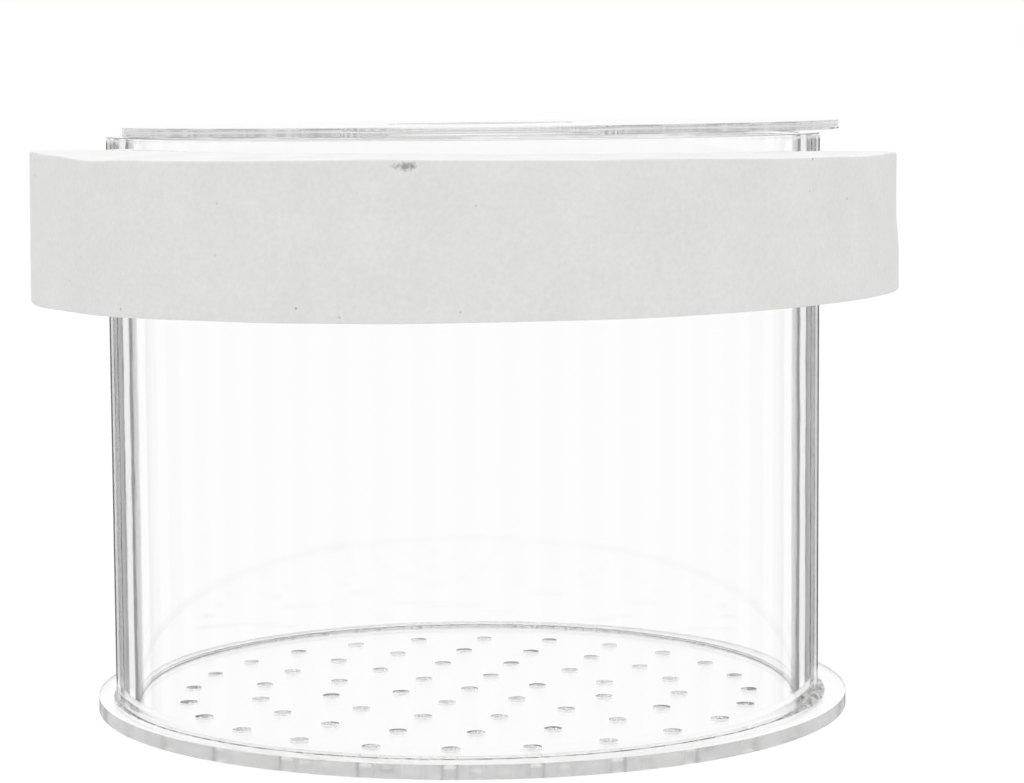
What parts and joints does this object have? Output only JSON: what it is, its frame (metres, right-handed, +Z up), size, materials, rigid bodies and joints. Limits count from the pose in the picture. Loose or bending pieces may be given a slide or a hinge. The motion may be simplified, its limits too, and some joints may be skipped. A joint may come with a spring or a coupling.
{
  "type": "fish breeding box",
  "caption": "Round clear box for fish fry: open tube on a drilled base plate, foam ring that slides along the tube and floats it, and a loose lid with a feed hole.",
  "frame": {"origin": "on the tube's axis, at the underside of the base plate, which is the centre of the bounding box's bottom", "axes": "+Z up along the tube, -Y towards the front, +X to the right"},
  "size_m": [0.1, 0.1, 0.0674],
  "materials": {
    "clear_tube": "clear extruded acrylic, glossy",
    "clear_base": "clear acrylic sheet, laser cut",
    "clear_lid": "thin clear acrylic sheet, laser cut",
    "cement": "dried clear solvent cement with small bubbles",
    "foam": "matt closed-cell foam, cut edges"
  },
  "bodies": {
    "box": {"tube": "clear_tube", "base_plate": "clear_base", "cement_bead": "cement"},
    "float": {"foam_float": "foam"},
    "lid": {"lid": "clear_lid"}
  },
  "joints": [
    {"name": "float_slide", "type": "slide", "parent": "box", "child": "float", "axis": [0, 0, 1], "range_m": [-0.045, 0.0016]},
    {"name": "lid_lift", "type": "slide", "parent": "box", "child": "lid", "axis": [0, 0, 1], "range_m": [0, 0.04]}
  ]
}
